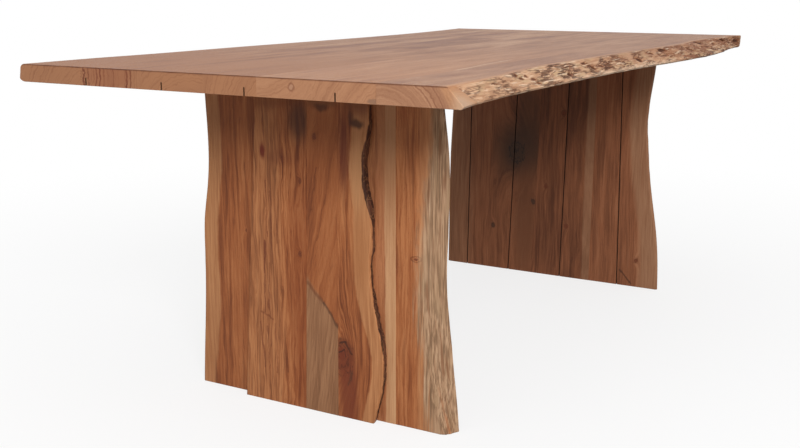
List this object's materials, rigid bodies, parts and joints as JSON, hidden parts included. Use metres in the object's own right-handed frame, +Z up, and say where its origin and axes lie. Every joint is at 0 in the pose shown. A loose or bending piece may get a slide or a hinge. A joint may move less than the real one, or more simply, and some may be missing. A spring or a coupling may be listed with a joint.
{
  "type": "dining table",
  "caption": "Long dining table with a thick plank top, natural wavy long edges and wide slab legs of glued boards set in from the ends, held by steel angles under the top.",
  "frame": {"origin": "on the floor, under the middle of the top", "axes": "+X along the top towards the far end, +Y across it towards the smoother left edge, +Z up"},
  "size_m": [2, 1.0763, 0.78],
  "materials": {
    "top_wood": "clear satin lacquer on acacia, with pale sapwood along the natural edges",
    "leg_wood": "clear satin lacquer on acacia, red-brown heartwood and pale sapwood",
    "black_steel": "black powder coat",
    "plated_steel": "zinc plated",
    "insert_steel": "zinc plated, yellow tint"
  },
  "bodies": {
    "root": {"top_edge_board_left": "top_wood", "top_board_2": "top_wood", "top_board_3": "top_wood", "top_board_4": "top_wood", "top_board_5": "top_wood", "top_board_6": "top_wood", "top_edge_board_right": "top_wood", "near_leg_edge_board_left": "leg_wood", "near_leg_board_2": "leg_wood", "near_leg_board_3": "leg_wood", "near_leg_edge_board_right": "leg_wood", "near_face_board_1": "leg_wood", "near_face_board_2": "leg_wood", "near_face_edge_board": "leg_wood", "far_leg_edge_board_left": "leg_wood", "far_leg_board_2": "leg_wood", "far_leg_board_3": "leg_wood", "far_leg_edge_board_right": "leg_wood", "far_face_board_1": "leg_wood", "far_face_board_2": "leg_wood", "far_face_edge_board": "leg_wood", "near_angle": "black_steel", "near_angle_screws": "plated_steel", "near_angle_bolts": "plated_steel", "near_angle_washers": "plated_steel", "near_top_inserts": "insert_steel", "far_angle": "black_steel", "far_angle_screws": "plated_steel", "far_angle_bolts": "plated_steel", "far_angle_washers": "plated_steel", "far_top_inserts": "insert_steel"}
  },
  "joints": []
}
